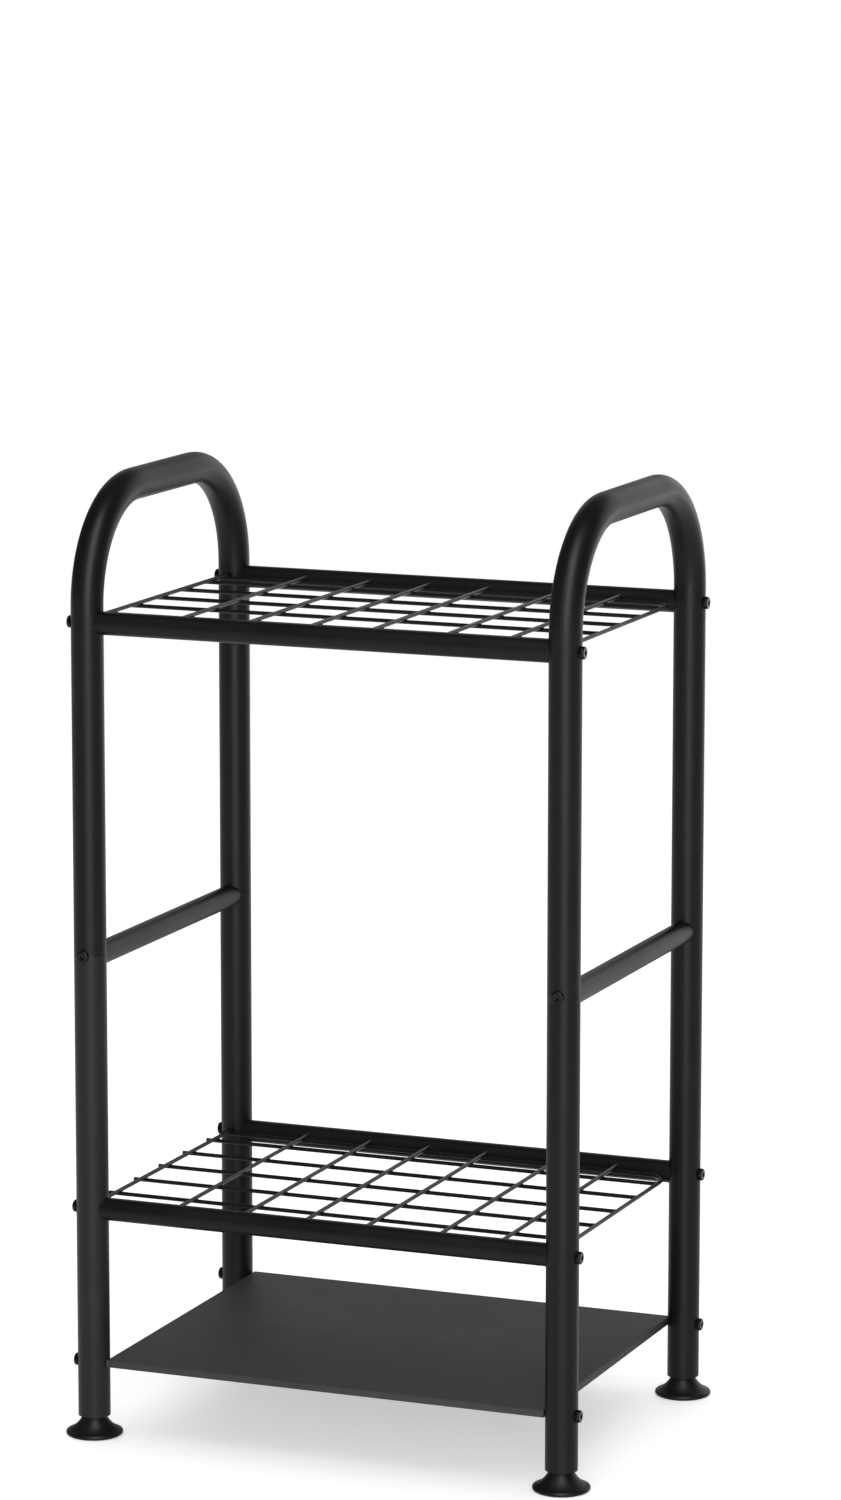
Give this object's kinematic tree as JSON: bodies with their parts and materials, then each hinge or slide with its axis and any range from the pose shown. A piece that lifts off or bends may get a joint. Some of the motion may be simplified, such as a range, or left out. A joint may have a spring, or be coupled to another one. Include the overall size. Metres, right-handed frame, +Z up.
{
  "type": "freestanding garden tool rack",
  "caption": "Freestanding tube-frame rack with two wire grid shelves that guide long handles, a base tray, crossbars and levelling feet.",
  "frame": {"origin": "middle of the floor plan, on the floor", "axes": "+X to the rack's right seen from the front, +Y from the front to the rear, +Z up"},
  "size_m": [0.6194, 0.4584, 1.071],
  "materials": {
    "black_coat": "satin black powder coat",
    "plain_steel": "zinc-plated, hidden inside the frame",
    "black_screw": "black oxide",
    "black_plastic": "semi-gloss black plastic"
  },
  "bodies": {
    "frame": {"left_hoop": "black_coat", "right_hoop": "black_coat", "front_left_leg": "black_coat", "rear_left_leg": "black_coat", "front_right_leg": "black_coat", "rear_right_leg": "black_coat", "front_left_sleeve": "plain_steel", "rear_left_sleeve": "plain_steel", "front_right_sleeve": "plain_steel", "rear_right_sleeve": "plain_steel", "left_crossbar": "black_coat", "right_crossbar": "black_coat", "crossbar_inserts": "plain_steel", "upper_front_rail": "black_coat", "upper_rear_rail": "black_coat", "lower_front_rail": "black_coat", "lower_rear_rail": "black_coat", "rail_inserts": "plain_steel", "upper_long_wires": "black_coat", "upper_cross_wires": "black_coat", "upper_border_wire": "black_coat", "lower_long_wires": "black_coat", "lower_cross_wires": "black_coat", "lower_border_wire": "black_coat", "base_tray": "black_coat", "tray_blocks": "plain_steel", "leg_plugs": "plain_steel", "upper_shelf_screws": "black_screw", "lower_shelf_screws": "black_screw", "crossbar_screws": "black_screw", "tray_screws": "black_screw"},
    "front_left_foot": {"front_left_pad": "black_plastic", "front_left_stud": "plain_steel"},
    "rear_left_foot": {"rear_left_pad": "black_plastic", "rear_left_stud": "plain_steel"},
    "front_right_foot": {"front_right_pad": "black_plastic", "front_right_stud": "plain_steel"},
    "rear_right_foot": {"rear_right_pad": "black_plastic", "rear_right_stud": "plain_steel"}
  },
  "joints": [
    {"name": "front_left_foot_height", "type": "slide", "parent": "frame", "child": "front_left_foot", "axis": [0, 0, -1], "range_m": [0, 0.012]},
    {"name": "rear_left_foot_height", "type": "slide", "parent": "frame", "child": "rear_left_foot", "axis": [0, 0, -1], "range_m": [0, 0.012]},
    {"name": "front_right_foot_height", "type": "slide", "parent": "frame", "child": "front_right_foot", "axis": [0, 0, -1], "range_m": [0, 0.012]},
    {"name": "rear_right_foot_height", "type": "slide", "parent": "frame", "child": "rear_right_foot", "axis": [0, 0, -1], "range_m": [0, 0.012]}
  ]
}
